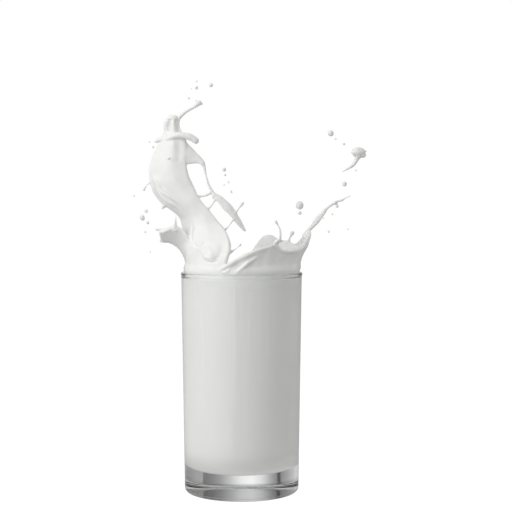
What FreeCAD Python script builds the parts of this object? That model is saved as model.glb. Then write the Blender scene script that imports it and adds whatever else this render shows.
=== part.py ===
"""A straight tumbler of milk with the splash that stands over its mouth.

Two pieces: the clear glass, with a thick solid base and a rolled rim, and the milk, which
fills it to the brim and rises from the mouth as one liquid: a low crown round the rim, a
tall tongue that leans to the left and the thin strands that hang between its edges.

Units are millimetres. The origin is the middle of the foot on the table, and +Z is up.
"""

import FreeCAD
import Part
import Sketcher
import math
import os
from FreeCAD import Vector

OUT_FOLDER = "parts"

# Driving dimensions: alias, value, meaning.
SIZES = [
    ("glassHeight", 121.0, "table to the top of the rim"),
    ("rimRadius", 33.0, "outer wall radius at the rim"),
    ("footRadius", 31.3, "outer wall radius at the table"),
    ("rimWall", 1.6, "wall thickness at the rim"),
    ("baseWall", 2.0, "wall thickness where the hollow ends"),
    ("baseThickness", 12.8, "solid glass under the milk"),
    ("cornerFillet", 14.0, "rounding of the hollow's bottom corner"),
    ("heelFillet", 2.6, "rounding of the foot's outer edge"),
    ("beadRadius", 1.15, "radius of the rolled rim"),
    ("fillBelowRim", 2.6, "rim top down to the milk's edge"),
    ("craterRadius", 24.0, "edge of the hollow in the milk's surface"),
    ("craterDepth", 5.5, "depth of that hollow"),
    ("craterSlope", 7.0, "width of its sloping side"),
    ("beadGap", 0.25, "milk to the inside of the rolled rim"),
    ("crownFoot", 1.9, "half thickness of the crown where it leaves the milk"),
    ("crownSheet", 0.9, "half thickness of the crown's sheet"),
    ("crownRoot", 7.0, "how far the crown reaches down into the milk"),
    ("tongueSheet", 1.05, "half thickness of the tongue's middle"),
    ("tongueEdge", 1.3, "half thickness of the tongue's rounded edges"),
    ("ribbonSheet", 0.7, "half thickness of the small sheets"),
    ("ribbonEdge", 0.85, "half thickness of their edges"),
    ("splashMouth", 30.8, "mouth radius that the splash is laid out for"),
]

# The crown: azimuth from +X in degrees, height of its edge above the rim, outward flare there.
CROWN = [
    (-107, 1.5, 0.4),
    (-99, 5.0, 1.0),
    (-88, 10.0, 1.8),
    (-76, 13.5, 2.2),
    (-64, 15.0, 2.4),
    (-55, 18.0, 2.4),
    (-47, 13.0, 2.6),
    (-37, 11.0, 3.2),
    (-26, 11.5, 4.2),
    (-14, 13.5, 5.6),
    (-4, 16.0, 6.8),
    (6, 23.0, 7.8),
    (15, 23.5, 7.8),
    (25, 17.5, 7.2),
    (34, 14.5, 6.4),
    (43, 16.5, 5.8),
    (52, 16.0, 5.2),
    (61, 18.0, 4.6),
    (70, 16.5, 4.0),
    (81, 10.0, 3.2),
    (93, 4.0, 2.4),
    (106, 2.5, 1.8),
    (121, 4.0, 1.6),
    (136, 9.0, 1.4),
    (150, 14.0, 1.2),
    (163, 17.0, 1.0),
    (176, 18.0, 0.8),
    (190, 17.0, 0.6),
    (205, 16.0, 0.4),
    (220, 15.0, 0.2),
    (234, 12.0, 0.0),
    (245, 6.0, 0.0),
]

# Sheets: rows of (one edge, middle, other edge), each a point (x, y, height above the rim).
TONGUE = [
    ((-27.0, 9.6, -5.0), (-24.0, -15.0, -5.0), (-10.0, -26.4, -5.0)),
    ((-28.0, 8.9, 4.0), (-25.0, -14.5, 4.0), (-7.6, -26.8, 4.0)),
    ((-29.8, 8.0, 12.0), (-25.8, -13.5, 12.0), (-5.4, -25.2, 12.0)),
    ((-30.4, 5.5, 19.0), (-24.8, -13.0, 19.0), (-5.8, -22.4, 18.0)),
    ((-31.4, 3.0, 26.0), (-24.2, -12.8, 25.0), (-8.6, -19.2, 24.2)),
    ((-33.8, 1.0, 31.2), (-25.4, -12.6, 31.0), (-13.6, -16.8, 29.8)),
    ((-38.4, -0.5, 35.2), (-28.8, -12.0, 36.2), (-18.4, -15.2, 35.4)),
    ((-44.2, -1.5, 39.0), (-33.6, -11.4, 41.2), (-22.6, -13.6, 40.4)),
    ((-48.0, -2.0, 45.2), (-37.4, -10.6, 46.6), (-25.4, -12.4, 46.4)),
    ((-49.8, -2.5, 53.0), (-39.4, -10.2, 53.4), (-28.4, -11.8, 53.0)),
    ((-49.0, -3.0, 59.6), (-39.2, -10.2, 59.6), (-29.4, -11.4, 59.6)),
    ((-46.2, -3.4, 66.0), (-37.8, -10.0, 66.0), (-29.0, -10.8, 66.0)),
    ((-43.8, -4.0, 71.0), (-37.0, -10.0, 71.4), (-29.8, -9.8, 71.4)),
    ((-40.6, -5.0, 76.0), (-36.6, -9.4, 76.0), (-32.0, -8.8, 76.0)),
    ((-39.8, -5.8, 80.4), (-37.0, -9.0, 80.4), (-34.0, -8.6, 80.2)),
    ((-38.6, -7.0, 84.0), (-37.6, -8.4, 84.2), (-36.4, -8.4, 84.0)),
]
FLAP = [
    ((-28.6, 4.0, 0.5), (-28.6, -5.0, 8.0), (-25.6, -13.0, 16.0)),
    ((-30.8, 5.0, 8.0), (-31.0, -3.6, 13.2), (-28.2, -10.0, 20.0)),
    ((-33.4, 6.0, 12.2), (-34.0, -1.6, 17.0), (-31.4, -7.0, 23.6)),
    ((-37.4, 7.0, 15.4), (-38.4, 0.6, 19.2), (-36.2, -4.6, 25.0)),
    ((-41.4, 7.6, 16.8), (-42.4, 2.8, 20.0), (-41.2, -1.6, 23.4)),
    ((-43.6, 7.4, 18.8), (-44.4, 5.0, 20.8), (-44.2, 2.6, 22.4)),
]
WEB = [
    ((-31.6, -9.6, 72.0), (-31.0, -11.4, 65.4), (-31.4, -11.0, 58.6)),
    ((-26.8, -10.2, 67.6), (-26.6, -11.4, 63.6), (-26.8, -11.2, 59.4)),
    ((-23.0, -10.8, 64.0), (-23.0, -11.7, 61.6), (-23.2, -11.6, 59.2)),
    ((-20.0, -11.4, 60.4), (-20.2, -12.0, 59.2), (-20.6, -12.0, 58.0)),
]
RIBBON = [
    ((-14.4, -13.2, 42.8), (-14.5, -13.7, 41.9), (-14.9, -13.4, 41.0)),
    ((-11.2, -13.6, 41.4), (-12.1, -14.5, 40.4), (-13.0, -14.2, 39.2)),
    ((-7.8, -14.0, 38.4), (-8.8, -15.2, 36.9), (-10.0, -14.8, 35.4)),
    ((-4.4, -14.2, 34.6), (-5.5, -15.4, 33.4), (-7.0, -15.0, 32.2)),
    ((-1.6, -14.2, 30.2), (-3.1, -15.2, 29.9), (-4.8, -14.8, 29.8)),
    ((0.4, -13.8, 26.4), (-0.8, -14.4, 26.5), (-2.2, -14.2, 26.8)),
    ((2.2, -13.4, 23.2), (1.9, -13.7, 23.4), (1.5, -13.6, 23.8)),
]
ARM_FILM = [
    ((38.4, 5.2, 25.0), (38.9, 4.7, 24.3), (39.2, 4.9, 23.4)),
    ((40.6, 4.8, 29.4), (41.5, 4.0, 28.2), (42.2, 4.2, 27.0)),
    ((43.4, 4.4, 32.4), (44.0, 3.8, 31.3), (44.6, 4.0, 30.2)),
    ((46.0, 4.0, 34.4), (46.3, 3.6, 33.8), (46.6, 3.8, 33.2)),
]
SHEETS = {
    "tongue": (TONGUE, "tongueSheet", "tongueEdge"),
    "flap": (FLAP, "ribbonSheet", "tongueEdge"),
    "web": (WEB, "ribbonSheet", "ribbonEdge"),
    "ribbon": (RIBBON, "ribbonSheet", "ribbonEdge"),
    "armFilm": (ARM_FILM, "ribbonSheet", "ribbonEdge"),
}

# Strands: stations of (x, y, height above the rim, radius).
STRANDS = {
    "topStrand": [
        (-35.6, -8.6, 79.0, 2.2),
        (-33.6, -8.8, 83.4, 1.3),
        (-30.2, -9.2, 86.6, 0.8),
        (-27.4, -9.6, 88.4, 0.7),
        (-24.8, -10.0, 90.0, 1.0),
        (-23.0, -10.2, 91.4, 1.4),
        (-22.0, -10.3, 92.4, 0.5),
    ],
    "finger": [
        (-38.0, -9.4, 72.6, 1.4),
        (-33.0, -11.2, 73.6, 1.9),
        (-28.6, -12.2, 73.4, 1.8),
        (-25.8, -12.8, 72.2, 1.8),
        (-24.2, -13.0, 70.9, 1.5),
        (-23.5, -13.0, 70.2, 0.5),
    ],
    "knob": [
        (-39.0, -7.6, 73.4, 1.2),
        (-43.0, -5.6, 72.6, 1.1),
        (-45.6, -4.6, 71.6, 1.1),
        (-46.6, -4.2, 71.0, 0.4),
    ],
    "webStrand": [
        (-20.8, -11.8, 59.6, 1.2),
        (-19.4, -12.2, 55.6, 0.9),
        (-18.2, -12.6, 50.4, 0.7),
        (-16.6, -13.0, 45.8, 0.7),
        (-14.6, -13.3, 42.6, 0.9),
        (-13.2, -13.6, 41.0, 0.8),
    ],
    "crossStrand": [
        (-25.0, -12.6, 41.2, 0.9),
        (-21.6, -12.9, 41.8, 0.7),
        (-18.4, -13.0, 42.6, 0.7),
        (-16.0, -13.1, 43.8, 0.7),
    ],
    "lowerTie": [
        (-13.6, -13.8, 40.8, 0.6),
        (-14.8, -14.4, 38.2, 0.5),
        (-16.4, -15.2, 36.0, 0.6),
        (-18.6, -15.4, 34.2, 0.8),
    ],
    "ribbonTie": [
        (-3.6, -15.0, 30.2, 0.8),
        (-5.4, -15.6, 27.4, 0.6),
        (-7.6, -17.4, 24.8, 0.6),
        (-9.8, -19.0, 23.0, 0.8),
    ],
    "ribbonFinger": [
        (-3.8, -14.8, 32.4, 0.9),
        (-2.0, -15.4, 34.4, 0.5),
        (-0.6, -15.8, 36.2, 0.6),
        (0.4, -16.0, 37.6, 0.9),
        (1.0, -16.1, 38.4, 0.4),
    ],
    "edgeTwig": [
        (-6.6, -24.4, 11.6, 0.9),
        (-4.2, -25.0, 13.0, 0.5),
        (-2.2, -25.4, 14.8, 0.5),
        (-0.6, -25.6, 16.2, 0.9),
        (0.1, -25.7, 16.9, 0.4),
    ],
    "leftTwig": [
        (-48.8, -2.8, 50.0, 1.1),
        (-50.6, -3.0, 48.4, 0.6),
        (-51.8, -3.2, 46.8, 0.6),
        (-53.0, -3.4, 45.2, 1.1),
        (-53.6, -3.4, 44.4, 0.4),
    ],
    "lowerKnob": [
        (-40.6, -2.4, 37.6, 1.4),
        (-42.4, -2.6, 36.2, 1.1),
        (-43.2, -2.8, 35.2, 0.9),
        (-43.5, -2.8, 34.6, 0.4),
    ],
    "flapSpike": [
        (-35.8, -5.0, 23.4, 1.5),
        (-35.6, -5.4, 26.4, 1.0),
        (-35.4, -5.6, 28.8, 0.5),
        (-35.3, -5.7, 30.6, 0.3),
    ],
    "flapHorn": [
        (-41.0, 0.2, 22.4, 1.4),
        (-43.8, 0.4, 23.2, 0.9),
        (-45.6, 0.6, 23.4, 1.0),
        (-46.4, 0.6, 23.3, 0.4),
    ],
    "flapToe": [
        (-41.4, 7.0, 17.4, 1.3),
        (-43.4, 7.8, 17.0, 0.8),
        (-44.6, 8.2, 17.6, 0.4),
    ],
    "armRoot": [
        (35.4, 6.4, 20.0, 1.6),
        (36.8, 5.8, 22.6, 1.2),
        (38.2, 5.2, 24.2, 1.0),
        (39.4, 4.9, 25.2, 0.8),
    ],
    "armTip": [
        (45.4, 4.0, 33.2, 0.9),
        (48.2, 3.8, 35.8, 0.7),
        (51.2, 3.6, 37.8, 0.8),
        (54.2, 3.4, 39.2, 0.6),
        (57.0, 3.2, 40.6, 0.5),
        (59.4, 3.0, 41.6, 0.7),
        (60.0, 3.0, 41.9, 0.3),
    ],
    "armBud": [
        (51.6, 3.6, 38.0, 0.7),
        (52.2, 3.8, 36.8, 0.6),
        (52.4, 4.0, 35.6, 0.9),
        (52.4, 4.0, 34.8, 0.3),
    ],
    "crownTwig": [
        (17.9, -25.2, 12.4, 1.2),
        (19.0, -26.6, 16.6, 1.0),
        (20.0, -27.4, 19.6, 0.8),
        (20.2, -27.8, 21.6, 0.8),
        (19.4, -28.2, 24.2, 0.5),
        (18.6, -28.4, 26.4, 0.9),
        (18.3, -28.5, 27.4, 0.4),
    ],
    "crownBud": [
        (25.2, 22.0, 12.8, 1.3),
        (25.9, 22.6, 15.6, 0.9),
        (26.8, 23.0, 17.8, 0.6),
        (27.8, 23.4, 19.4, 1.1),
        (28.4, 23.6, 20.3, 0.4),
    ],
}


def makeSizes(doc):
    """The spreadsheet of driving dimensions."""
    sheet = doc.addObject("Spreadsheet::Sheet", "sizes")
    for row, (alias, value, meaning) in enumerate(SIZES, start=1):
        sheet.set(f"A{row}", meaning)
        sheet.set(f"B{row}", str(value))
        sheet.setAlias(f"B{row}", alias)
    doc.recompute()
    return sheet


def originPlane(body, role):
    return next(f for f in body.Origin.OriginFeatures if f.Role == role)


def addProfile(body, name, corners):
    """A sketch on the XZ plane: straight lines through corners, each a pair of expressions.

    An expression of "0" puts the corner on that axis.
    """
    sketch = body.newObject("Sketcher::SketchObject", name)
    sketch.AttachmentSupport = [(originPlane(body, "XZ_Plane"), "")]
    sketch.MapMode = "FlatFace"
    spots = [Vector(evaluate(body, x), evaluate(body, z), 0) for x, z in corners]
    count = len(spots)
    for i in range(count):
        sketch.addGeometry(Part.LineSegment(spots[i], spots[(i + 1) % count]), False)
    for i in range(count):
        sketch.addConstraint(Sketcher.Constraint("Coincident", i, 2, (i + 1) % count, 1))
    for i, (x, z) in enumerate(corners):
        placeCorner(sketch, i, "DistanceX", -2, x, spots[i].x)
        placeCorner(sketch, i, "DistanceY", -1, z, spots[i].y)
    return sketch


def placeCorner(sketch, line, kind, axis, expression, value):
    """Ties the start of a line to its axis, or to a distance from the origin."""
    if expression == "0":
        sketch.addConstraint(Sketcher.Constraint("PointOnObject", line, 1, axis))
        return
    index = sketch.addConstraint(Sketcher.Constraint(kind, -1, 1, line, 1, value))
    sketch.setExpression(f"Constraints[{index}]", expression)


def evaluate(feature, expression):
    return float(feature.evalExpression(expression))


def revolve(body, sketch, name):
    turned = body.newObject("PartDesign::Revolution", name)
    turned.Profile = sketch
    turned.ReferenceAxis = (sketch, ["V_Axis"])
    turned.Angle = 360
    body.Document.recompute()
    return turned


def ringEdges(feature, spots):
    """Names of the round edges nearest to each (radius, height)."""
    names = []
    for radius, height in spots:
        best = min(
            (
                (abs(e.Curve.Radius - radius) + abs(e.Curve.Center.z - height), i)
                for i, e in enumerate(feature.Shape.Edges, start=1)
                if isinstance(e.Curve, Part.Circle) and abs(e.Curve.Axis.z) > 0.99
            ),
        )
        names.append(f"Edge{best[1]}")
    return names


def roundOff(body, base, name, alias, spots):
    """A fillet on the round edges at spots, its radius bound to the sheet."""
    fillet = body.newObject("PartDesign::Fillet", name)
    fillet.Base = (base, ringEdges(base, spots))
    fillet.setExpression("Radius", f"sizes.{alias}")
    body.Document.recompute()
    return fillet


# Radii and heights that both pieces share, as expressions on the sheet.
BEAD_HEIGHT = "sizes.glassHeight - sizes.beadRadius"
HOLLOW_TOP = "sizes.rimRadius - sizes.rimWall"
HOLLOW_FOOT = (
    "sizes.footRadius + (sizes.rimRadius - sizes.footRadius)"
    " * sizes.baseThickness / sizes.glassHeight - sizes.baseWall"
)
FILL_HEIGHT = "sizes.glassHeight - sizes.fillBelowRim"
FILL_RADIUS = (
    f"{HOLLOW_FOOT} + ({HOLLOW_TOP} - ({HOLLOW_FOOT}))"
    f" * ({FILL_HEIGHT} - sizes.baseThickness)"
    f" / ({BEAD_HEIGHT} - sizes.baseThickness)"
)


def makeGlass(doc):
    """The tumbler: one turned body with a rolled rim, a rounded corner and a rounded heel."""
    body = doc.addObject("PartDesign::Body", "glass")
    body.Label = "glass"
    corners = [
        ("0", "0"),
        ("sizes.footRadius", "0"),
        ("sizes.rimRadius", BEAD_HEIGHT),
        (HOLLOW_TOP, BEAD_HEIGHT),
        (HOLLOW_FOOT, "sizes.baseThickness"),
        ("0", "sizes.baseThickness"),
    ]
    wall = revolve(body, addProfile(body, "wallProfile", corners), "wall")
    base = evaluate(body, "sizes.baseThickness")
    corner = roundOff(
        body, wall, "corner", "cornerFillet", [(evaluate(body, HOLLOW_FOOT), base)]
    )
    roundOff(body, corner, "heel", "heelFillet", [(evaluate(body, "sizes.footRadius"), 0)])
    addBead(body)
    return body


def addBead(body):
    """The rolled rim: a ring of round section on top of the wall."""
    sketch = body.newObject("Sketcher::SketchObject", "beadProfile")
    sketch.AttachmentSupport = [(originPlane(body, "XZ_Plane"), "")]
    sketch.MapMode = "FlatFace"
    across = "sizes.rimRadius - sizes.rimWall / 2"
    centre = Vector(evaluate(body, across), evaluate(body, BEAD_HEIGHT), 0)
    radius = evaluate(body, "sizes.beadRadius")
    sketch.addGeometry(Part.Circle(centre, Vector(0, 0, 1), radius), False)
    size = sketch.addConstraint(Sketcher.Constraint("Radius", 0, radius))
    right = sketch.addConstraint(Sketcher.Constraint("DistanceX", -1, 1, 0, 3, centre.x))
    up = sketch.addConstraint(Sketcher.Constraint("DistanceY", -1, 1, 0, 3, centre.y))
    sketch.setExpression(f"Constraints[{size}]", "sizes.beadRadius")
    sketch.setExpression(f"Constraints[{right}]", across)
    sketch.setExpression(f"Constraints[{up}]", BEAD_HEIGHT)
    revolve(body, sketch, "bead")


def makeFill(doc):
    """The milk inside the glass, up to its edge under the rim, with the hollow in its surface."""
    body = doc.addObject("PartDesign::Body", "fill")
    floor = f"{FILL_HEIGHT} - sizes.craterDepth"
    corners = [
        ("0", "sizes.baseThickness"),
        (HOLLOW_FOOT, "sizes.baseThickness"),
        (FILL_RADIUS, FILL_HEIGHT),
        ("sizes.craterRadius", FILL_HEIGHT),
        ("sizes.craterRadius - sizes.craterSlope", floor),
        ("0", floor),
    ]
    turned = revolve(body, addProfile(body, "fillProfile", corners), "fillTurned")
    base = evaluate(body, "sizes.baseThickness")
    roundOff(
        body, turned, "fillCorner", "cornerFillet", [(evaluate(body, HOLLOW_FOOT), base)]
    )
    return body


def sizesOf(sheet):
    """The sheet's values by alias, for the shapes that no sketch holds."""
    return {alias: float(sheet.get(alias)) for alias, _, _ in SIZES}


def mouthRadius(sizes):
    """How far out the splash may reach where it passes the rolled rim."""
    return sizes["rimRadius"] - sizes["rimWall"] / 2 - sizes["beadRadius"] - sizes["beadGap"]


def place(sizes, spot):
    """A splash point: spread with the mouth, its height counted from the rim."""
    spread = mouthRadius(sizes) / sizes["splashMouth"]
    return Vector(spot[0] * spread, spot[1] * spread, sizes["glassHeight"] + spot[2])


def curveThrough(points):
    curve = Part.BSplineCurve()
    curve.interpolate(points)
    return curve.toShape()


def sheetSection(start, middle, end, half, edge, samples=7):
    """The outline of a bent sheet's cross-section: an arc given thickness and round edges."""
    arc = Part.ArcOfCircle(start, middle, end)
    first, last = arc.FirstParameter, arc.LastParameter
    outer, inner, ends = [], [], []
    for i in range(samples):
        share = i / (samples - 1)
        at = first + (last - first) * share
        spot = arc.value(at)
        away = (spot - arc.Center).normalize()
        thick = half + (edge - half) * abs(2 * share - 1) ** 3
        rounding = 0.8 if i in (0, samples - 1) else 1.0
        outer.append(spot + away * thick * rounding)
        inner.append(spot - away * thick * rounding)
        if i in (0, samples - 1):
            along = Vector(*arc.tangent(at)[0]).normalize()
            ends.append(spot + along * edge * (1 if i else -1))
    sides = [
        outer,
        [outer[-1], ends[1], inner[-1]],
        inner[::-1],
        [inner[0], ends[0], outer[0]],
    ]
    return Part.Wire([curveThrough(side) for side in sides])


def strandSection(centre, along, radius):
    """A round cross-section square to the strand, as two half circles."""
    side = Vector(0, 1, 0).cross(along).normalize() * radius
    up = along.cross(side).normalize() * radius
    halves = [
        Part.ArcOfCircle(centre + side, centre + up, centre - side),
        Part.ArcOfCircle(centre - side, centre - up, centre + side),
    ]
    return Part.Wire([half.toShape() for half in halves])


def loft(doc, name, wires):
    """A solid Part::Loft through wires, each kept as an object of its own."""
    sections = []
    for i, wire in enumerate(wires):
        section = doc.addObject("Part::Feature", f"{name}Row{i}")
        section.Shape = wire
        sections.append(section)
    made = doc.addObject("Part::Loft", name)
    made.Sections = sections
    made.Solid = True
    made.Ruled = False
    return made


def makeSheet(doc, sizes, name):
    rows, half, edge = SHEETS[name]
    wires = []
    for row in rows:
        start, middle, end = (place(sizes, spot) for spot in row)
        width = (end - start).Length
        limit = width * 0.45
        wires.append(
            sheetSection(start, middle, end, min(sizes[half], limit), min(sizes[edge], limit))
        )
    return loft(doc, name, wires)


def makeStrand(doc, sizes, name):
    stations = STRANDS[name]
    spots = [place(sizes, s) for s in stations]
    wires = []
    for i, (spot, station) in enumerate(zip(spots, stations)):
        before, after = spots[max(i - 1, 0)], spots[min(i + 1, len(spots) - 1)]
        wires.append(strandSection(spot, (after - before).normalize(), station[3]))
    return loft(doc, name, wires)


def crownProfile(sizes, azimuth, top, flare):
    """Control points round the crown's wall in one radial plane, from its outer root upwards."""
    foot, sheet = sizes["crownFoot"], sizes["crownSheet"]
    middle = mouthRadius(sizes) - foot
    root = -sizes["crownRoot"]
    rise = top - 2.0
    spots = [
        (middle + foot, root),
        (middle + foot, root * 0.3),
        (middle + foot * 0.95 + flare * 0.05, rise * 0.15),
        (middle + sheet * 1.3 + flare * 0.55, rise * 0.55),
        (middle + sheet * 1.1 + flare, rise * 0.92),
        (middle + sheet * 1.5 + flare * 1.1, top),
        (middle + flare * 1.1, top + 0.6),
        (middle - sheet * 1.5 + flare * 1.0, top),
        (middle - sheet * 1.1 + flare * 0.9, rise * 0.92),
        (middle - sheet * 1.3 + flare * 0.45, rise * 0.55),
        (middle - foot * 1.3, rise * 0.1),
        (middle - foot * 2.0, root * 0.4),
        (middle - foot * 1.5, root),
    ]
    turn = math.radians(azimuth)
    return [
        Vector(r * math.cos(turn), r * math.sin(turn), sizes["glassHeight"] + z)
        for r, z in spots
    ]


def makeCrown(doc, sizes):
    """The low wall of milk all round the mouth, as one smooth ring."""
    poles = [crownProfile(sizes, *station) for station in CROWN]
    across, around = len(poles[0]), len(poles)
    surface = Part.BSplineSurface()
    surface.buildFromPolesMultsKnots(
        poles,
        [1] * (around + 1),
        [1] * (across + 1),
        list(range(around + 1)),
        list(range(across + 1)),
        True,
        True,
        3,
        3,
    )
    crown = doc.addObject("Part::Feature", "crown")
    ring = Part.Solid(Part.Shell([surface.toShape()]))
    if ring.Volume < 0:
        ring.reverse()
    crown.Shape = ring
    return crown


def makeMilk(doc, sizes):
    """The milk as one liquid: the fill and all that stands up from it."""
    pieces = [makeFill(doc), makeCrown(doc, sizes)]
    pieces += [makeSheet(doc, sizes, name) for name in SHEETS]
    pieces += [makeStrand(doc, sizes, name) for name in STRANDS]
    doc.recompute()
    for piece in pieces:
        checkShape(piece)
    milk = doc.addObject("Part::MultiFuse", "milk")
    milk.Label = "milk"
    milk.Shapes = pieces
    doc.recompute()
    return milk


def checkShape(thing):
    """Stops the build when an object failed or its shape isn't a sound solid."""
    if "Invalid" in thing.State or "Error" in thing.State:
        raise RuntimeError(f"{thing.Name} failed: {thing.State}")
    if thing.Shape.isNull() or not thing.Shape.isValid():
        raise RuntimeError(f"{thing.Name} has no valid shape")
    if len(thing.Shape.Solids) != 1 or thing.Shape.Volume <= 0:
        raise RuntimeError(f"{thing.Name} has {len(thing.Shape.Solids)} solids, not one")


def main():
    doc = FreeCAD.newDocument("glassOfMilk")
    sizes = sizesOf(makeSizes(doc))
    subparts = [makeGlass(doc), makeMilk(doc, sizes)]
    doc.recompute()
    for thing in doc.Objects:
        if "Invalid" in thing.State or "Error" in thing.State:
            raise RuntimeError(f"{thing.Name} failed: {thing.State}")
    os.makedirs(OUT_FOLDER, exist_ok=True)
    for thing in subparts:
        checkShape(thing)
        thing.Shape.exportStep(os.path.join(OUT_FOLDER, f"{thing.Label}.step"))
        box = thing.Shape.BoundBox
        print(
            f"{thing.Label}: {len(thing.Shape.Solids)} solid, {thing.Shape.Volume / 1000:.1f} ml,"
            f" x {box.XMin:.1f}..{box.XMax:.1f} y {box.YMin:.1f}..{box.YMax:.1f}"
            f" z {box.ZMin:.1f}..{box.ZMax:.1f}"
        )


main()
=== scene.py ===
import math

import bmesh
import bpy
import numpy as np
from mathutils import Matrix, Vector


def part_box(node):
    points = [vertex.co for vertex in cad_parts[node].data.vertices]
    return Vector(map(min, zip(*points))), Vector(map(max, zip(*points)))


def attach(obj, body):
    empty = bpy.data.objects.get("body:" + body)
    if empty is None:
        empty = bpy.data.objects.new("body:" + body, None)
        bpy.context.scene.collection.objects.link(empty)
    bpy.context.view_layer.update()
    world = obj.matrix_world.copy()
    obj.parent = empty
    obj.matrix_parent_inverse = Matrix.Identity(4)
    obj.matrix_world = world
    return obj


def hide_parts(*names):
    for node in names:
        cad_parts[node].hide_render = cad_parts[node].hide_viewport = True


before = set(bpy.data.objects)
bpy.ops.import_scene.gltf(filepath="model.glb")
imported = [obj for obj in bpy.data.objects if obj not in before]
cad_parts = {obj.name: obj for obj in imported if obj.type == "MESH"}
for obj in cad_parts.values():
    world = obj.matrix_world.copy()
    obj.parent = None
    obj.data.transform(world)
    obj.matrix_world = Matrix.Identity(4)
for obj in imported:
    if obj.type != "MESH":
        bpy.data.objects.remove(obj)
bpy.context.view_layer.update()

scene = bpy.context.scene
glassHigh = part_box("glass")[1]
rimHeight = glassHigh.z
mm = 0.001

# what the tumbler's wall and base measure, in metres
tumbler = {
    "beadRadius": 0.00115,
    "wall": 0.0016,
    "baseWall": 0.0020,
    "footInset": 0.0017,
    "baseThickness": 0.0128,
    "cornerRound": 0.014,
    "heelRound": 0.0026,
    "turnSteps": 192,
}
rimRadius = glassHigh.x - tumbler["beadRadius"] + tumbler["wall"] / 2
footRadius = rimRadius - tumbler["footInset"]
beadHeight = rimHeight - tumbler["beadRadius"]

print(f"frame loaded: rim at {rimHeight:.4f} m, rim radius {rimRadius:.4f} m")


def newMesh(name, points, faces, smooth=True):
    mesh = bpy.data.meshes.new(name)
    mesh.from_pydata([tuple(p) for p in points], [], faces)
    mesh.validate()
    if smooth:
        mesh.shade_smooth()
    thing = bpy.data.objects.new(name, mesh)
    scene.collection.objects.link(thing)
    return thing


def asPlainMesh(thing, name):
    # bakes the modifiers of thing into an ordinary mesh object and removes thing
    graph = bpy.context.evaluated_depsgraph_get()
    mesh = bpy.data.meshes.new_from_object(thing.evaluated_get(graph))
    mesh.name = name
    bpy.data.objects.remove(thing)
    made = bpy.data.objects.new(name, mesh)
    scene.collection.objects.link(made)
    return made


def meshPoints(mesh):
    flat = np.empty(len(mesh.vertices) * 3, np.float32)
    mesh.vertices.foreach_get("co", flat)
    return flat.reshape(-1, 3).astype(float)


def arcPoints(centre, radius, start, end, steps):
    # points on a circle arc in the profile's plane, angles in degrees
    turns = np.radians(np.linspace(start, end, steps))
    return [(centre[0] + radius * math.cos(a), centre[1] + radius * math.sin(a)) for a in turns]


def cornerArc(before, corner, after, radius, steps):
    # the rounding of one corner of a profile, as points from one leg to the other
    b, c, a = (np.array(p, float) for p in (before, corner, after))
    u = (b - c) / np.linalg.norm(b - c)
    v = (a - c) / np.linalg.norm(a - c)
    half = math.acos(np.clip(u @ v, -1, 1)) / 2
    reach = radius / math.tan(half)
    middle = c + (u + v) / np.linalg.norm(u + v) * radius / math.sin(half)
    first, last = c + u * reach - middle, c + v * reach - middle
    start = math.atan2(first[1], first[0])
    sweep = math.atan2(first[0] * last[1] - first[1] * last[0], first @ last)
    turns = start + sweep * np.linspace(0, 1, steps)
    return [(middle[0] + radius * math.cos(t), middle[1] + radius * math.sin(t)) for t in turns]


milkLook = {
    "colour": (0.91, 0.91, 0.895, 1.0),
    "shade": (0.89, 0.893, 0.872, 1.0),
    "softness": 0.3,
    "bleed": (1.0, 0.92, 0.84),
    "bleedScale": 0.0005,
    "roughness": 0.22,
    "roughnessSpread": 0.08,
    "index": 1.35,
    "cloudScale": 45,        # slow change of tone where cream hangs
    "filmScale": 120,        # patches of glossier and duller skin
}
glassLook = {
    "tint": (0.985, 0.995, 0.99, 1.0),
    "index": 1.5,
    "waviness": 0.04,
    "waveScale": 70,
    "waveDepth": 0.001,
}


def join(giver, output, taker, socket):
    giver.id_data.links.new(giver.outputs[output], taker.inputs[socket])


def newMaterial(name):
    material = bpy.data.materials.new(name)
    material.use_nodes = True
    return material, material.node_tree.nodes


def milkMaterial():
    material, nodes = newMaterial("milk")
    skin = nodes["Principled BSDF"]
    place = nodes.new("ShaderNodeTexCoord")
    cloud = nodes.new("ShaderNodeTexNoise")
    cloud.inputs["Scale"].default_value = milkLook["cloudScale"]
    cloud.inputs["Detail"].default_value = 3
    tone = nodes.new("ShaderNodeMix")
    tone.data_type = "RGBA"
    tone.inputs["A"].default_value = milkLook["colour"]
    tone.inputs["B"].default_value = milkLook["shade"]
    film = nodes.new("ShaderNodeTexNoise")
    film.inputs["Scale"].default_value = milkLook["filmScale"]
    film.inputs["Detail"].default_value = 2
    gloss = nodes.new("ShaderNodeMapRange")
    gloss.inputs["To Min"].default_value = milkLook["roughness"] - milkLook["roughnessSpread"]
    gloss.inputs["To Max"].default_value = milkLook["roughness"] + milkLook["roughnessSpread"]
    join(place, "Object", cloud, "Vector")
    join(place, "Object", film, "Vector")
    join(cloud, "Fac", tone, "Factor")
    join(tone, "Result", skin, "Base Color")
    join(film, "Fac", gloss, "Value")
    join(gloss, "Result", skin, "Roughness")
    skin.inputs["Subsurface Weight"].default_value = milkLook["softness"]
    skin.inputs["Subsurface Radius"].default_value = milkLook["bleed"]
    skin.inputs["Subsurface Scale"].default_value = milkLook["bleedScale"]
    skin.inputs["IOR"].default_value = milkLook["index"]
    return material


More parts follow.
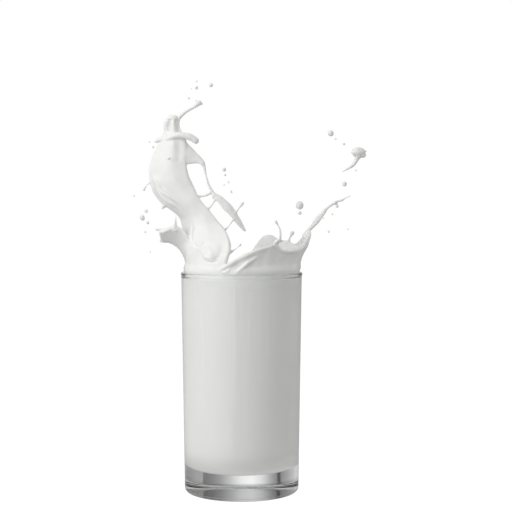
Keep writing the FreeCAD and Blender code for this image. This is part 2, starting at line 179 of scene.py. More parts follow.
def glassMaterial():
    material, nodes = newMaterial("clearGlass")
    skin = nodes["Principled BSDF"]
    place = nodes.new("ShaderNodeTexCoord")
    wave = nodes.new("ShaderNodeTexNoise")       # the slight waviness of drawn glass
    wave.inputs["Scale"].default_value = glassLook["waveScale"]
    wave.inputs["Detail"].default_value = 1
    bump = nodes.new("ShaderNodeBump")
    bump.inputs["Strength"].default_value = glassLook["waviness"]
    bump.inputs["Distance"].default_value = glassLook["waveDepth"]
    join(place, "Object", wave, "Vector")
    join(wave, "Fac", bump, "Height")
    join(bump, "Normal", skin, "Normal")
    skin.inputs["Base Color"].default_value = glassLook["tint"]
    skin.inputs["Transmission Weight"].default_value = 1.0
    skin.inputs["Roughness"].default_value = 0.0
    skin.inputs["IOR"].default_value = glassLook["index"]
    return material


milkSkin = milkMaterial()
clearGlass = glassMaterial()
print("materials made")


def hollowRadius(height):
    # inner wall radius of the tumbler at a height
    low = tumbler["baseThickness"]
    foot = (
        footRadius
        + (rimRadius - footRadius) * low / rimHeight
        - tumbler["baseWall"]
    )
    top = rimRadius - tumbler["wall"]
    return foot + (top - foot) * (height - low) / (beadHeight - low)


def tumblerProfile():
    # outline of the glass in one half plane, from the middle of the foot round to the hollow
    low = tumbler["baseThickness"]
    foot, heelTop = (footRadius, 0.0), (rimRadius, rimHeight)
    innerCorner = (hollowRadius(low), low)
    beadMiddle = (rimRadius - tumbler["wall"] / 2, beadHeight)
    outline = [(0.0, 0.0), (footRadius * 0.5, 0.0), (footRadius * 0.8, 0.0)]
    outline += cornerArc((0, 0), foot, heelTop, tumbler["heelRound"], 10)
    slope = (rimRadius - footRadius) / rimHeight
    wallTop = beadHeight - 0.0011
    for height in np.linspace(0.007, wallTop, 24):
        outline.append((footRadius + slope * height, height))
    outline += arcPoints(beadMiddle, tumbler["beadRadius"], -42, 222, 22)
    for height in np.linspace(wallTop, low + tumbler["cornerRound"] * 1.1, 24):
        outline.append((hollowRadius(height), height))
    outline += cornerArc(
        (hollowRadius(beadHeight), beadHeight), innerCorner, (0, low), tumbler["cornerRound"], 12
    )
    outline += [(innerCorner[0] * share, low) for share in (0.6, 0.3, 0.0)]
    return outline


def newTree(name, inputs, output):
    # an empty Geometry Nodes tree with named inputs, and the node that hands them out
    tree = bpy.data.node_groups.new(name, "GeometryNodeTree")
    for title, kind in inputs.items():
        tree.interface.new_socket(title, in_out="INPUT", socket_type="NodeSocket" + kind)
    tree.interface.new_socket(output, in_out="OUTPUT", socket_type="NodeSocketGeometry")
    return tree, tree.nodes, tree.nodes.new("NodeGroupInput")


def closeTree(tree, last, material):
    # every tree ends as real geometry with its material
    real = tree.nodes.new("GeometryNodeRealizeInstances")
    paint = tree.nodes.new("GeometryNodeSetMaterial")
    paint.inputs["Material"].default_value = material
    made = tree.nodes.new("NodeGroupOutput")
    tree.links.new(last, real.inputs["Geometry"])
    join(real, "Geometry", paint, "Geometry")
    join(paint, "Geometry", made, 0)
    return tree


def mathsIn(tree):
    # a short way to add maths nodes to a tree, whose values are numbers or sockets
    def maths(operation, *values, clamp=False):
        node = tree.nodes.new("ShaderNodeMath")
        node.operation = operation
        node.use_clamp = clamp
        for socket, value in zip(node.inputs, values):
            if isinstance(value, (int, float)):
                socket.default_value = value
            else:
                tree.links.new(value, socket)
        return node.outputs[0]

    return maths


def latheTree(material):
    # Geometry Nodes: sweeps a profile curve round the upright axis
    inputs = {"Profile": "Geometry", "Steps": "Int"}
    tree, nodes, given = newTree("lathe", inputs, "Lathed")
    ring = nodes.new("GeometryNodeCurvePrimitiveCircle")
    ring.inputs["Radius"].default_value = 1.0
    shift = nodes.new("GeometryNodeTransform")          # the profile is swept at one metre out
    shift.inputs["Translation"].default_value = (-1.0, 0.0, 0.0)
    sweep = nodes.new("GeometryNodeCurveToMesh")
    weld = nodes.new("GeometryNodeMergeByDistance")
    weld.inputs["Distance"].default_value = 1e-6
    join(given, "Steps", ring, "Resolution")
    join(given, "Profile", shift, "Geometry")
    join(ring, "Curve", sweep, "Curve")
    join(shift, "Geometry", sweep, "Profile Curve")
    join(sweep, "Mesh", weld, "Geometry")
    return closeTree(tree, weld.outputs["Geometry"], material)


def runTree(thing, tree, values, name):
    # puts tree on thing, sets its named inputs, and returns the result as a plain mesh object
    modifier = thing.modifiers.new(tree.name, "NODES")
    modifier.node_group = tree
    for socket in tree.interface.items_tree:
        if socket.item_type == "SOCKET" and socket.in_out == "INPUT" and socket.name in values:
            modifier[socket.identifier] = values[socket.name]
    return asPlainMesh(thing, name)


def recalcOutward(thing):
    # welds doubles and turns every face outwards
    work = bmesh.new()
    work.from_mesh(thing.data)
    bmesh.ops.remove_doubles(work, verts=work.verts, dist=1e-6)
    bmesh.ops.dissolve_degenerate(work, edges=work.edges, dist=1e-7)
    bmesh.ops.recalc_face_normals(work, faces=work.faces)
    work.to_mesh(thing.data)
    work.free()
    thing.data.shade_smooth()


def profileCurve(name, outline):
    curve = bpy.data.curves.new(name, "CURVE")
    curve.dimensions = "3D"
    line = curve.splines.new("POLY")
    line.points.add(len(outline) - 1)
    for point, (r, z) in zip(line.points, outline):
        point.co = (r, -z, 0.0, 1.0)     # the sweep turns the profile's y downwards
    thing = bpy.data.objects.new(name, curve)
    scene.collection.objects.link(thing)
    return thing


def makeTumbler():
    profile = profileCurve("tumblerProfile", tumblerProfile())
    made = runTree(profile, latheTree(clearGlass), {"Steps": tumbler["turnSteps"]}, "tumbler")
    recalcOutward(made)
    return made


tumblerPiece = makeTumbler()
points = meshPoints(tumblerPiece.data)
low, high = points.min(0), points.max(0)
print("tumbler made", low.round(4), high.round(4))


milk = {
    "belowRim": 2.6,         # the fill's edge, in mm under the rim
    "craterFloor": 8.1,
    "craterRadius": 24.0,
    "craterSlope": 7.5,
    "beadClearance": 0.12,
    "intoWall": 0.15,        # how far the milk reaches into the glass, so no air shows
    "cutBelowRim": 12.0,     # under this the milk is a clean turned body
    "voxel": 0.38,
    "band": 8,               # voxels on each side of a surface in which distance is known
    "triangles": 190000,
    "crownBlend": 1.7,       # how softly each kind of piece runs into the rest, in mm
    "thinBlend": 1.0,
    "foldBlend": 1.3,
    "hollowBlend": 2.0,
    "slitBlend": 0.7,
    "sheetSwellSize": 14,    # slow bulges along each sheet
    "sheetSwellDepth": 0.35,
    "swellSize": 0.008,      # unevenness of the melted whole, in metres
    "swellDepth": 0.0009,
    "mouth": 30.8,           # mouth radius that the stations are laid out for
}
mouthRadius = rimRadius - tumbler["wall"] / 2 - tumbler["beadRadius"] - 0.00025
spread = mouthRadius / (milk["mouth"] * mm)

crown = {
    "radius": 29.3,          # at its root, in mm
    "root": -9.0,            # where its wall starts, over the rim
    "half": 0.75,            # half thickness near its edge
    "footHalf": 0.75,        # how much thicker its foot is
    "edge": 0.85,            # radius of its edge
    "lap": 1.1,              # how far it laps over the rolled rim
    "lapHeight": 2.2,
    "flareCurve": 1.2,
    "pleat": 0.3,            # depth of the faint upright pleats
    "pleats": 23,
    "steps": 300,
    "rows": 40,
}
# crown: azimuth in degrees, height of its edge over the rim in mm, outward flare in mm
crownStations = [
    (-107, 2.4, 0.4), (-99, 6.0, 1.0), (-88, 10.2, 1.8), (-76, 13.2, 2.2), (-64, 14.6, 2.4),
    (-55, 17.0, 2.6), (-47, 13.8, 2.8), (-37, 12.8, 3.4), (-26, 13.4, 4.4), (-14, 14.8, 5.8),
    (-4, 16.0, 7.2), (6, 22.0, 8.6), (15, 22.5, 8.4), (25, 17.0, 7.6), (34, 14.5, 6.6),
    (43, 16.0, 5.8), (52, 16.6, 5.2), (61, 19.2, 4.6), (70, 17.6, 4.0), (81, 9.6, 3.2),
    (93, 3.6, 2.4), (106, 2.4, 1.8), (121, 4.0, 1.6), (136, 9.0, 1.4), (150, 13.5, 1.2),
    (163, 16.5, 1.0), (176, 17.5, 0.8), (190, 16.6, 0.6), (205, 15.6, 0.4), (220, 14.6, 0.2),
    (234, 11.6, 0.0), (245, 5.6, 0.0),
]
# sheets: rows of one edge, middle and other edge, each x, y and height over the rim in mm
tongueRows = [
    [(-26.6, 9.4, -7), (-24.4, -15.2, -7), (-10.8, -26.6, -7)],
    [(-27.8, 9.2, 1), (-25.4, -15.4, 1), (-9.2, -27.8, 1)],
    [(-29.0, 8.4, 8), (-26.0, -15.0, 8), (-6.8, -28.2, 8.2)],
    [(-30.0, 7.0, 14), (-26.0, -14.2, 14), (-5.3, -26.2, 13.8)],
    [(-30.6, 5.0, 20), (-25.2, -13.6, 20), (-6.0, -23.2, 19.2)],
    [(-31.2, 3.0, 25.6), (-24.4, -13.0, 25.2), (-8.8, -19.8, 24.4)],
    [(-33.4, 1.0, 30.8), (-25.6, -12.6, 31.0), (-13.6, -16.6, 29.8)],
    [(-38.2, -0.5, 34.6), (-29.0, -12.0, 36.2), (-18.4, -15.0, 35.6)],
    [(-44.0, -1.5, 38.4), (-33.8, -11.4, 41.2), (-22.6, -13.4, 40.6)],
    [(-48.0, -2.0, 44.8), (-37.6, -10.6, 46.6), (-25.4, -12.4, 46.4)],
    [(-50.0, -2.5, 52.6), (-39.6, -10.2, 53.2), (-28.4, -11.8, 53.0)],
    [(-49.2, -3.0, 59.6), (-39.4, -10.2, 59.6), (-29.4, -11.4, 59.6)],
    [(-46.4, -3.4, 66.0), (-37.8, -10.0, 66.0), (-29.0, -10.8, 66.0)],
    [(-43.8, -4.0, 71.0), (-37.0, -10.0, 71.4), (-29.8, -9.8, 71.4)],
    [(-41.4, -5.0, 76.0), (-36.6, -9.6, 76.0), (-31.8, -8.8, 76.0)],
    [(-41.2, -5.8, 80.4), (-37.2, -9.2, 80.6), (-33.2, -8.6, 80.4)],
    [(-39.6, -6.6, 83.2), (-36.8, -8.8, 83.6), (-34.0, -8.4, 83.2)],
    [(-38.1, -7.4, 85.2), (-36.9, -8.4, 85.4), (-35.7, -8.4, 85.2)],
]
flapRows = [
    [(-27.6, 3.4, -1.0), (-27.6, -5.2, 6.5), (-24.6, -13.0, 14.5)],
    [(-30.4, 3.4, 6.6), (-30.6, -5.2, 12.6), (-27.8, -12.0, 19.4)],
    [(-33.2, 2.4, 11.8), (-34.0, -5.6, 17.0), (-31.4, -11.4, 23.8)],
    [(-37.4, 0.6, 15.2), (-38.6, -6.0, 19.4), (-36.2, -11.4, 25.4)],
    [(-41.4, -1.4, 16.7), (-42.6, -6.4, 20.3), (-41.2, -10.6, 23.6)],
    [(-43.8, -3.2, 18.5), (-44.4, -6.8, 20.8), (-44.4, -8.4, 22.8)],
]
webRows = [
    [(-32.6, -9.2, 73.4), (-32.4, -11.2, 65.6), (-32.6, -10.8, 58.0)],
    [(-29.4, -9.8, 70.2), (-29.4, -11.4, 64.6), (-29.6, -11.2, 58.6)],
    [(-26.4, -10.2, 67.4), (-26.4, -11.4, 63.2), (-26.6, -11.2, 59.2)],
    [(-23.0, -10.8, 64.0), (-23.0, -11.7, 61.6), (-23.2, -11.6, 59.2)],
    [(-20.0, -11.4, 60.4), (-20.2, -12.0, 59.0), (-20.6, -12.0, 57.8)],
]
ribbonRows = [
    [(-15.4, -13.0, 43.4), (-15.5, -13.5, 42.2), (-15.8, -13.2, 41.0)],
    [(-13.0, -13.2, 42.6), (-13.4, -13.8, 41.4), (-14.0, -13.6, 40.0)],
    [(-10.4, -13.6, 41.2), (-11.5, -14.6, 39.9), (-12.6, -14.2, 38.6)],
    [(-7.4, -14.0, 38.4), (-8.6, -15.2, 36.8), (-9.8, -14.8, 35.2)],
    [(-3.9, -14.2, 34.8), (-5.3, -15.4, 33.5), (-6.9, -15.0, 32.3)],
    [(-1.0, -14.2, 30.2), (-2.8, -15.2, 29.9), (-4.7, -14.8, 29.7)],
    [(0.8, -13.8, 26.6), (-0.6, -14.4, 26.5), (-2.1, -14.2, 26.7)],
    [(2.6, -13.4, 22.6), (2.2, -13.7, 22.8), (1.7, -13.6, 23.4)],
]
armRows = [
    [(38.0, 5.3, 24.2), (38.6, 4.9, 23.8), (39.0, 5.0, 23.2)],
    [(39.4, 5.0, 27.8), (40.2, 4.4, 26.6), (40.8, 4.6, 25.2)],
    [(41.2, 4.7, 30.4), (42.2, 4.0, 29.0), (43.0, 4.2, 27.6)],
    [(43.4, 4.4, 32.4), (44.2, 3.8, 31.3), (44.9, 4.0, 30.1)],
    [(46.2, 4.0, 34.6), (46.5, 3.6, 34.0), (46.8, 3.8, 33.4)],
]
lobeRows = [
    [(-19.2, -23.9, 9.2), (-15.8, -25.8, 8.7), (-12.4, -26.5, 9.6)],
    [(-21.4, -21.6, 11.8), (-16.6, -24.5, 11.4), (-11.2, -25.0, 12.2)],
    [(-23.4, -19.1, 14.4), (-17.4, -22.6, 14.4), (-10.8, -23.7, 14.8)],
    [(-25.0, -17.0, 17.8), (-18.6, -20.6, 18.0), (-11.0, -21.9, 17.6)],
    [(-25.1, -15.7, 21.6), (-19.0, -18.9, 22.0), (-12.2, -19.7, 21.4)],
    [(-24.7, -14.4, 25.6), (-20.0, -16.6, 26.0), (-14.0, -17.3, 25.6)],
    [(-24.8, -13.0, 29.0), (-21.4, -14.6, 29.4), (-17.5, -15.6, 29.0)],
]
# each sheet's rows, half thickness, edge radius and how softly it runs into the rest, in mm
sheets = {
    "tongue": (tongueRows, 1.05, 1.35, 1.6),
    "flap": (flapRows, 0.7, 1.1, 1.5),
    "web": (webRows, 0.75, 0.8, 1.0),
    "ribbon": (ribbonRows, 0.6, 0.8, 1.0),
    "armFilm": (armRows, 0.5, 0.7, 1.0),
    "lobe": (lobeRows, 0.9, 0.8, 1.6),
}
# strands: stations of x, y, height over the rim and radius, in mm
thinStrands = {
    "topStrand": [
        (-35.6, -8.6, 77.6, 1.6), (-34.8, -8.7, 80.8, 1.5), (-33.8, -8.8, 83.4, 1.1),
        (-32.0, -9.0, 85.4, 0.95), (-30.0, -9.2, 86.9, 0.8), (-27.2, -9.6, 88.6, 0.75),
        (-25.0, -10.0, 89.9, 0.95), (-23.4, -10.2, 91.0, 1.25), (-22.6, -10.3, 91.9, 1.2),
    ],
    "finger": [
        (-40.0, -8.2, 72.2, 1.2), (-37.0, -10.4, 73.6, 1.6), (-33.0, -11.8, 74.4, 1.8),
        (-29.0, -12.6, 73.9, 1.7), (-26.2, -12.9, 72.8, 1.7), (-24.4, -13.0, 71.4, 1.75),
    ],
    "tipFork": [(-23.6, -10.2, 91.2, 1.1), (-24.0, -10.2, 92.2, 0.8), (-24.3, -10.2, 93.0, 0.55)],
    "tipBud": [(-23.0, -10.2, 91.2, 1.1), (-22.0, -10.3, 91.4, 0.9), (-21.3, -10.3, 91.3, 0.7)],
    "knob": [
        (-39.0, -7.6, 73.2, 1.4), (-42.0, -6.0, 72.8, 1.3), (-44.6, -5.0, 72.0, 1.15),
        (-46.0, -4.4, 71.4, 1.1),
    ],
    "webStrand": [
        (-20.6, -11.8, 59.8, 1.0), (-19.8, -12.1, 57.0, 0.85), (-19.2, -12.3, 54.0, 0.7),
        (-18.4, -12.6, 50.4, 0.6), (-17.4, -12.8, 47.4, 0.65), (-16.2, -13.0, 45.0, 0.75),
        (-14.8, -13.3, 42.8, 0.9), (-13.2, -13.6, 41.0, 0.8),
    ],
    "crossStrand": [
        (-25.0, -12.6, 41.2, 0.8), (-22.4, -12.8, 41.5, 0.65), (-19.6, -12.9, 42.0, 0.5),
        (-17.6, -13.0, 42.8, 0.6), (-16.0, -13.1, 44.2, 0.8),
    ],
    "lowerTie": [
        (-13.4, -13.8, 41.0, 0.7), (-14.6, -14.2, 38.8, 0.45), (-16.2, -15.0, 36.4, 0.5),
        (-18.6, -15.2, 34.4, 0.9),
    ],
    "ribbonTie": [
        (-3.6, -15.0, 30.2, 0.8), (-5.2, -15.6, 27.8, 0.5), (-7.4, -17.2, 25.0, 0.45),
        (-9.8, -18.8, 23.0, 0.9),
    ],
    "ribbonFinger": [
        (-3.8, -14.8, 32.4, 0.9), (-2.2, -15.3, 34.0, 0.55), (-0.8, -15.7, 35.8, 0.5),
        (0.2, -16.0, 37.2, 0.8), (0.7, -16.1, 38.0, 0.85),
    ],
    "edgeTwig": [
        (-6.6, -24.4, 11.6, 0.9), (-4.6, -24.9, 12.8, 0.55), (-2.8, -25.2, 14.0, 0.4),
        (-1.4, -25.5, 15.2, 0.45), (-0.4, -25.6, 16.2, 0.85),
    ],
    "leftTwig": [
        (-48.6, -2.8, 50.2, 1.0), (-50.4, -3.0, 48.6, 0.6), (-51.6, -3.2, 47.2, 0.5),
        (-52.6, -3.3, 45.9, 0.85), (-53.0, -3.4, 45.1, 1.0),
    ],
    "lowerKnob": [(-40.6, -2.4, 37.6, 1.4), (-42.2, -2.6, 36.2, 1.0), (-43.0, -2.8, 35.2, 0.95)],
    "flapSpike": [
        (-35.8, -10.4, 23.2, 1.7), (-35.8, -11.0, 25.6, 1.1), (-35.5, -11.2, 28.2, 0.6),
        (-35.3, -11.3, 31.0, 0.35),
    ],
    "flapHorn": [
        (-40.6, -9.6, 22.8, 1.3), (-43.2, -9.2, 23.4, 0.95), (-45.2, -9.0, 23.6, 0.8),
        (-46.0, -9.0, 23.5, 0.8),
    ],
    "flapToe": [(-41.4, -2.0, 17.4, 1.2), (-43.2, -2.4, 17.0, 0.9), (-44.2, -2.6, 17.3, 0.7)],
    "armRoot": [
        (35.0, 6.6, 18.6, 2.2), (36.2, 6.0, 21.2, 1.5), (37.4, 5.4, 23.2, 1.1),
        (39.0, 5.0, 25.0, 0.9),
    ],
    "armTip": [
        (45.4, 4.0, 33.4, 0.8), (47.0, 3.9, 34.8, 0.7), (49.0, 3.7, 36.4, 0.6),
        (51.4, 3.6, 37.9, 0.85), (53.0, 3.5, 38.6, 0.5), (55.2, 3.3, 39.3, 0.65),
        (57.2, 3.2, 40.4, 0.45), (59.0, 3.1, 41.3, 0.6), (59.8, 3.0, 41.6, 0.5),
    ],
    "armBud": [(51.6, 3.6, 37.8, 0.7), (52.1, 3.8, 36.9, 0.5), (52.4, 4.0, 35.8, 0.85)],
    "crownTwig": [
        (18.4, -25.8, 15.0, 0.8), (19.6, -26.5, 17.6, 0.9), (20.6, -27.0, 20.2, 0.65),
        (20.8, -27.4, 22.6, 0.5), (20.4, -27.8, 24.8, 0.42), (19.4, -28.1, 26.8, 0.38),
        (18.4, -28.3, 28.6, 0.8),
    ],
    "crownKnot": [(17.4, -27.2, 16.8, 0.8), (19.4, -27.0, 18.4, 1.1), (21.2, -26.0, 18.2, 0.75)],
    "crownBud": [
        (25.2, 23.2, 12.0, 0.9), (26.2, 22.8, 15.4, 0.9), (27.0, 22.8, 17.8, 0.5),
        (28.4, 23.3, 20.2, 1.05),
    ],
}
# the blob that has torn loose on the right
blobStrands = {
    "blobHead": [
        (60.8, 6.0, 64.2, 1.6), (62.2, 5.8, 65.3, 2.3), (64.0, 5.6, 65.7, 2.6),
        (65.8, 5.8, 65.4, 2.3), (66.8, 6.0, 64.0, 1.6),
    ],
    "blobTail": [
        (64.4, 6.0, 63.8, 1.8), (63.3, 6.0, 61.8, 1.3), (62.5, 6.0, 60.2, 1.05),
        (61.2, 6.0, 58.4, 0.95), (59.4, 6.0, 57.1, 0.85), (57.4, 6.0, 55.9, 0.6),
        (55.6, 6.0, 54.8, 0.28),
    ],
}
# folds that lie on the sheets and give them their ridges
foldStrands = {
    "bellyRim": [
        (-46.6, -5.6, 50.0, 0.7), (-45.4, -6.4, 45.8, 1.0), (-42.6, -7.4, 41.8, 1.2),
        (-39.0, -8.2, 38.8, 1.2), (-35.0, -8.6, 36.4, 1.0), (-31.4, -8.6, 33.6, 0.7),
    ],
    "ridgeOne": [
        (-12.4, -27.4, 2.6, 0.5), (-9.6, -29.0, 3.8, 1.0), (-5.6, -30.4, 6.2, 1.3),
        (-1.6, -31.0, 8.8, 1.3), (2.0, -31.3, 10.6, 1.25), (5.6, -31.2, 12.2, 1.2),
        (9.2, -30.5, 13.6, 1.1), (12.6, -29.4, 14.4, 1.0), (16.2, -27.8, 15.7, 0.85),
    ],
    "ridgeTwo": [
        (-4.6, -30.4, -0.8, 0.5), (-1.6, -31.3, 2.4, 0.85), (1.6, -31.6, 5.2, 0.9),
        (4.6, -31.4, 7.6, 0.8), (8.0, -30.6, 9.6, 0.5),
    ],
    "lipRoll": [
        (18.0, -26.6, 16.0, 0.7), (21.0, -24.8, 13.2, 0.7), (25.0, -21.4, 12.2, 0.75),
        (28.6, -17.2, 12.4, 0.8), (31.6, -12.4, 13.5, 0.85), (34.2, -7.2, 15.4, 0.85),
        (36.2, -1.2, 18.2, 0.8), (37.4, 4.0, 21.6, 0.7),
    ],
    "lobeCrease": [
        (-18.4, -22.2, 15.9, 0.5), (-16.9, -23.9, 13.0, 0.8), (-15.4, -25.5, 10.8, 0.8),
        (-14.2, -26.3, 9.4, 0.5),
    ],
    "belly": [
        (-47.4, -5.2, 54.0, 0.6), (-46.4, -6.6, 49.4, 1.0), (-43.6, -8.4, 45.0, 1.3),
        (-39.6, -9.8, 42.0, 1.3), (-35.4, -10.6, 39.6, 1.0), (-31.6, -10.8, 36.8, 0.6),
    ],
}
# soft hollows and sharp slits that are pressed into the sheets
hollowStrands = {
    "throatGroove": [
        (-34.6, -13.5, 72.0, 1.6), (-34.0, -14.1, 68.6, 2.6), (-33.8, -14.2, 65.0, 2.3),
        (-33.8, -13.7, 61.6, 1.2),
    ],
    "leftGroove": [(-39.3, -10.2, 76.2, 1.4), (-39.2, -10.4, 79.4, 1.9), (-38.5, -10.0, 82.2, 1.2)],
    "rightGroove": [
        (-33.6, -10.9, 76.4, 1.4), (-33.6, -10.9, 79.2, 1.8), (-34.4, -10.4, 81.8, 1.2),
    ],
    "lobeHollow": [
        (-21.6, -22.0, 17.0, 1.8), (-20.9, -24.0, 14.4, 2.6), (-19.6, -25.4, 12.2, 2.3),
        (-18.2, -26.4, 10.4, 1.4),
    ],
}
slitStrands = {
    "lobeSlit": [
        (-25.4, -14.2, 27.4, 0.3), (-25.9, -13.6, 25.0, 0.9), (-26.0, -13.6, 21.6, 1.15),
        (-25.7, -14.8, 18.4, 1.05), (-24.6, -17.6, 15.0, 0.4),
    ],
    "lobeFoot": [(-19.4, -23.9, 7.5, 0.4), (-16.0, -26.1, 6.9, 0.5), (-12.6, -27.6, 7.4, 0.4)],
    "ridgeGroove": [
        (-6.4, -31.2, 1.6, 0.5), (-3.4, -32.3, 4.4, 0.9), (0.2, -32.6, 7.2, 1.0),
        (3.8, -32.4, 9.4, 0.9), (7.0, -31.8, 10.8, 0.5),
    ],
    "bellyGroove": [
        (-49.0, -7.6, 51.6, 0.4), (-46.9, -6.8, 47.6, 1.0), (-44.2, -8.2, 43.2, 1.2),
        (-40.8, -9.4, 40.4, 1.2), (-37.0, -10.4, 38.4, 0.8),
    ],
}


def throughStations(values, count, closed=False):
    # a smooth run of count rows through stations, spaced by the stations' own distances
    values = np.asarray(values, float)
    flat = values.reshape(len(values), -1)
    if closed:
        flat = np.vstack([flat[-2:], flat, flat[:3]])
    steps = np.linalg.norm(np.diff(flat[:, :3], axis=0), axis=1) ** 0.5
    at = np.concatenate([[0], np.cumsum(steps)])
    slopes = np.gradient(flat, at, axis=0)
    first, last = (at[2], at[-3]) if closed else (at[0], at[-1])
    want = np.linspace(first, last, count, endpoint=not closed)
    i = np.clip(np.searchsorted(at, want, side="right") - 1, 0, len(at) - 2)
    width = (at[i + 1] - at[i])[:, None]
    t = ((want - at[i])[:, None]) / width
    a, b, u, v = flat[i], flat[i + 1], slopes[i] * width, slopes[i + 1] * width
    out = (
        (2 * t**3 - 3 * t**2 + 1) * a + (t**3 - 2 * t**2 + t) * u
        + (3 * t**2 - 2 * t**3) * b + (t**3 - t**2) * v
    )
    return out.reshape((count,) + values.shape[1:])


def inPlace(points):
    # splash points in mm to metres, spread with the mouth and stood on the rim
    out = np.array(points, float) * mm
    out[..., 0] *= spread
    out[..., 1] *= spread
    out[..., 2] += rimHeight
    return out


def gridNormals(grid, closed):
    if closed:
        along = np.roll(grid, -1, 0) - np.roll(grid, 1, 0)
    else:
        along = np.gradient(grid, axis=0)
    across = np.gradient(grid, axis=1)
    normal = np.cross(along, across)
    return normal / np.maximum(np.linalg.norm(normal, axis=2, keepdims=True), 1e-12)


def edgeRounding(distance, half, edge):
    # half thickness of a sheet at a distance from its edge: a round bead that thins inwards
    bead = np.sqrt(np.clip(edge**2 - np.clip(edge - distance, 0, edge) ** 2, 0, None))
    thin = np.exp(-np.clip(distance - edge, 0, None) / (edge * 1.3))
    return np.where(distance < edge, bead, half + (edge - half) * thin)


def edgeDistance(grid, closed):
    # how far each point of a sheet lies from its nearest free edge
    across = np.linalg.norm(np.diff(grid, axis=1), axis=2)
    left = np.concatenate([np.zeros((len(grid), 1)), np.cumsum(across, 1)], 1)
    distance = np.minimum(left, left[:, -1:] - left)
    if not closed:
        along = np.linalg.norm(np.diff(grid, axis=0), axis=2)
        down = np.concatenate([np.zeros((1, grid.shape[1])), np.cumsum(along, 0)], 0)
        distance = np.minimum(distance, np.minimum(down, down[-1:] - down))
    return distance


def thicken(name, grid, half, edge, closed=False):
    # gives a grid of points a thickness with round edges, as a closed mesh
    rows, across = grid.shape[:2]
    away = gridNormals(grid, closed)
    thick = edgeRounding(edgeDistance(grid, closed), half, edge)[..., None]
    points = np.concatenate([(grid + side * away * thick).reshape(-1, 3) for side in (1, -1)])
    faces = []
    size = rows * across
    lastRow = rows if closed else rows - 1
    for i in range(lastRow):
        k = (i + 1) % rows
        for j in range(across - 1):
            a, b, c, d = i * across + j, i * across + j + 1, k * across + j + 1, k * across + j
            faces += [(a, b, c, d), (a + size, d + size, c + size, b + size)]
        a, d = i * across, k * across
        b, c = a + across - 1, d + across - 1
        faces += [(a, d, d + size, a + size), (b, b + size, c + size, c)]
    if not closed:
        for j in range(across - 1):
            a, b = j, j + 1
            c, d = (rows - 1) * across + j, (rows - 1) * across + j + 1
            faces += [(a, a + size, b + size, b), (c, d, d + size, c + size)]
    return newMesh(name, points, faces)


def bendAcross(rows, across):
    # a curve through each row's three points, with more points near its ends
    share = 0.5 - 0.5 * np.cos(np.linspace(0, np.pi, across))
    share = 0.5 * share + 0.5 * np.linspace(0, 1, across)
    u = share[None, :, None]
    a, m, b = rows[:, 0][:, None], rows[:, 1][:, None], rows[:, 2][:, None]
    return a * (1 - u) * (1 - 2 * u) + 4 * m * u * (1 - u) + b * u * (2 * u - 1)


def swell(grid, size, depth, seed):
    # slow uneven bulges along a sheet, so that it doesn't look ruled
    chance = np.random.default_rng(seed)
    rows, across = grid.shape[:2]
    total = np.zeros((rows, across))
    for _ in range(7):
        way = chance.normal(size=3)
        way *= 2 * np.pi / (size * chance.uniform(0.7, 1.6)) / np.linalg.norm(way)
        total += np.sin(grid @ way + chance.uniform(0, 2 * np.pi))
    return total[..., None] * depth / 2.6


def makeSheet(name, rows, half, edge, count=90, across=46):
    # one sheet, swollen unevenly; the length of its name serves as its seed
    dense = throughStations(rows, count)
    grid = inPlace(bendAcross(dense, across))
    size, depth = milk["sheetSwellSize"] * mm, milk["sheetSwellDepth"] * mm
    grid += gridNormals(grid, False) * swell(grid, size, depth, len(name))
    return thicken(name, grid, half * mm, edge * mm)


def makeCrown():
    # the wall of milk round the mouth
    stations = [
        (30 * math.cos(math.radians(a)), 30 * math.sin(math.radians(a)), 0.0, top, flare)
        for a, top, flare in crownStations
    ]
    ring = throughStations(stations, crown["steps"], closed=True)
    turn = np.arctan2(ring[:, 1], ring[:, 0])[:, None]
    top, flare = ring[:, 3][:, None], ring[:, 4][:, None]
    share = np.linspace(0, 1, crown["rows"])[None, :]
    height = crown["root"] + (top - crown["root"]) * share
    lift = np.clip(height / np.maximum(top, 1.0), 0, 1)
    overRim = (height - crown["lapHeight"]) / crown["lapHeight"]
    lap = crown["lap"] * np.exp(-(overRim**2))
    pleat = crown["pleat"] * np.sin(turn * crown["pleats"] + 1.3 * np.sin(turn * 5)) * lift
    radius = crown["radius"] + flare * lift ** crown["flareCurve"] + lap + pleat
    grid = np.stack([radius * np.cos(turn), radius * np.sin(turn), height + 0 * turn], axis=2)
    half = crown["half"] + crown["footHalf"] * np.clip(1 - lift / 0.6, 0, 1)
    return thicken("crown", inPlace(grid), half * mm, crown["edge"] * mm, closed=True)


def poolProfile():
    # outline of the milk near its surface, closed on the axis, in mm from the rim
    floor, edge = -milk["craterFloor"], -milk["belowRim"]
    radius = milk["craterRadius"]
    return [
        (0.0, -20.0), (34.0, -20.0), (34.0, edge), (30.0, edge), (28.0, edge - 0.1),
        (radius + 1.5, edge - 1.2), (radius - milk["craterSlope"] * 0.5, (floor + edge) / 2),
        (radius - milk["craterSlope"], floor + 0.4), (10.0, floor - 0.1),
        (5.0, floor + 0.5), (0.0, floor + 1.0),
    ]


def makePool():
    steps = 128
    outline = poolProfile()
    points, faces = [], []
    for k in range(steps):
        turn = 2 * math.pi * k / steps
        for r, z in outline:
            points.append((r * math.cos(turn) * mm, r * math.sin(turn) * mm, rimHeight + z * mm))
    size = len(outline)
    for k in range(steps):
        n = (k + 1) % steps
        for j in range(size - 1):
            faces.append((k * size + j, n * size + j, n * size + j + 1, k * size + j + 1))
    made = newMesh("pool", points, faces)
    recalcOutward(made)
    return made


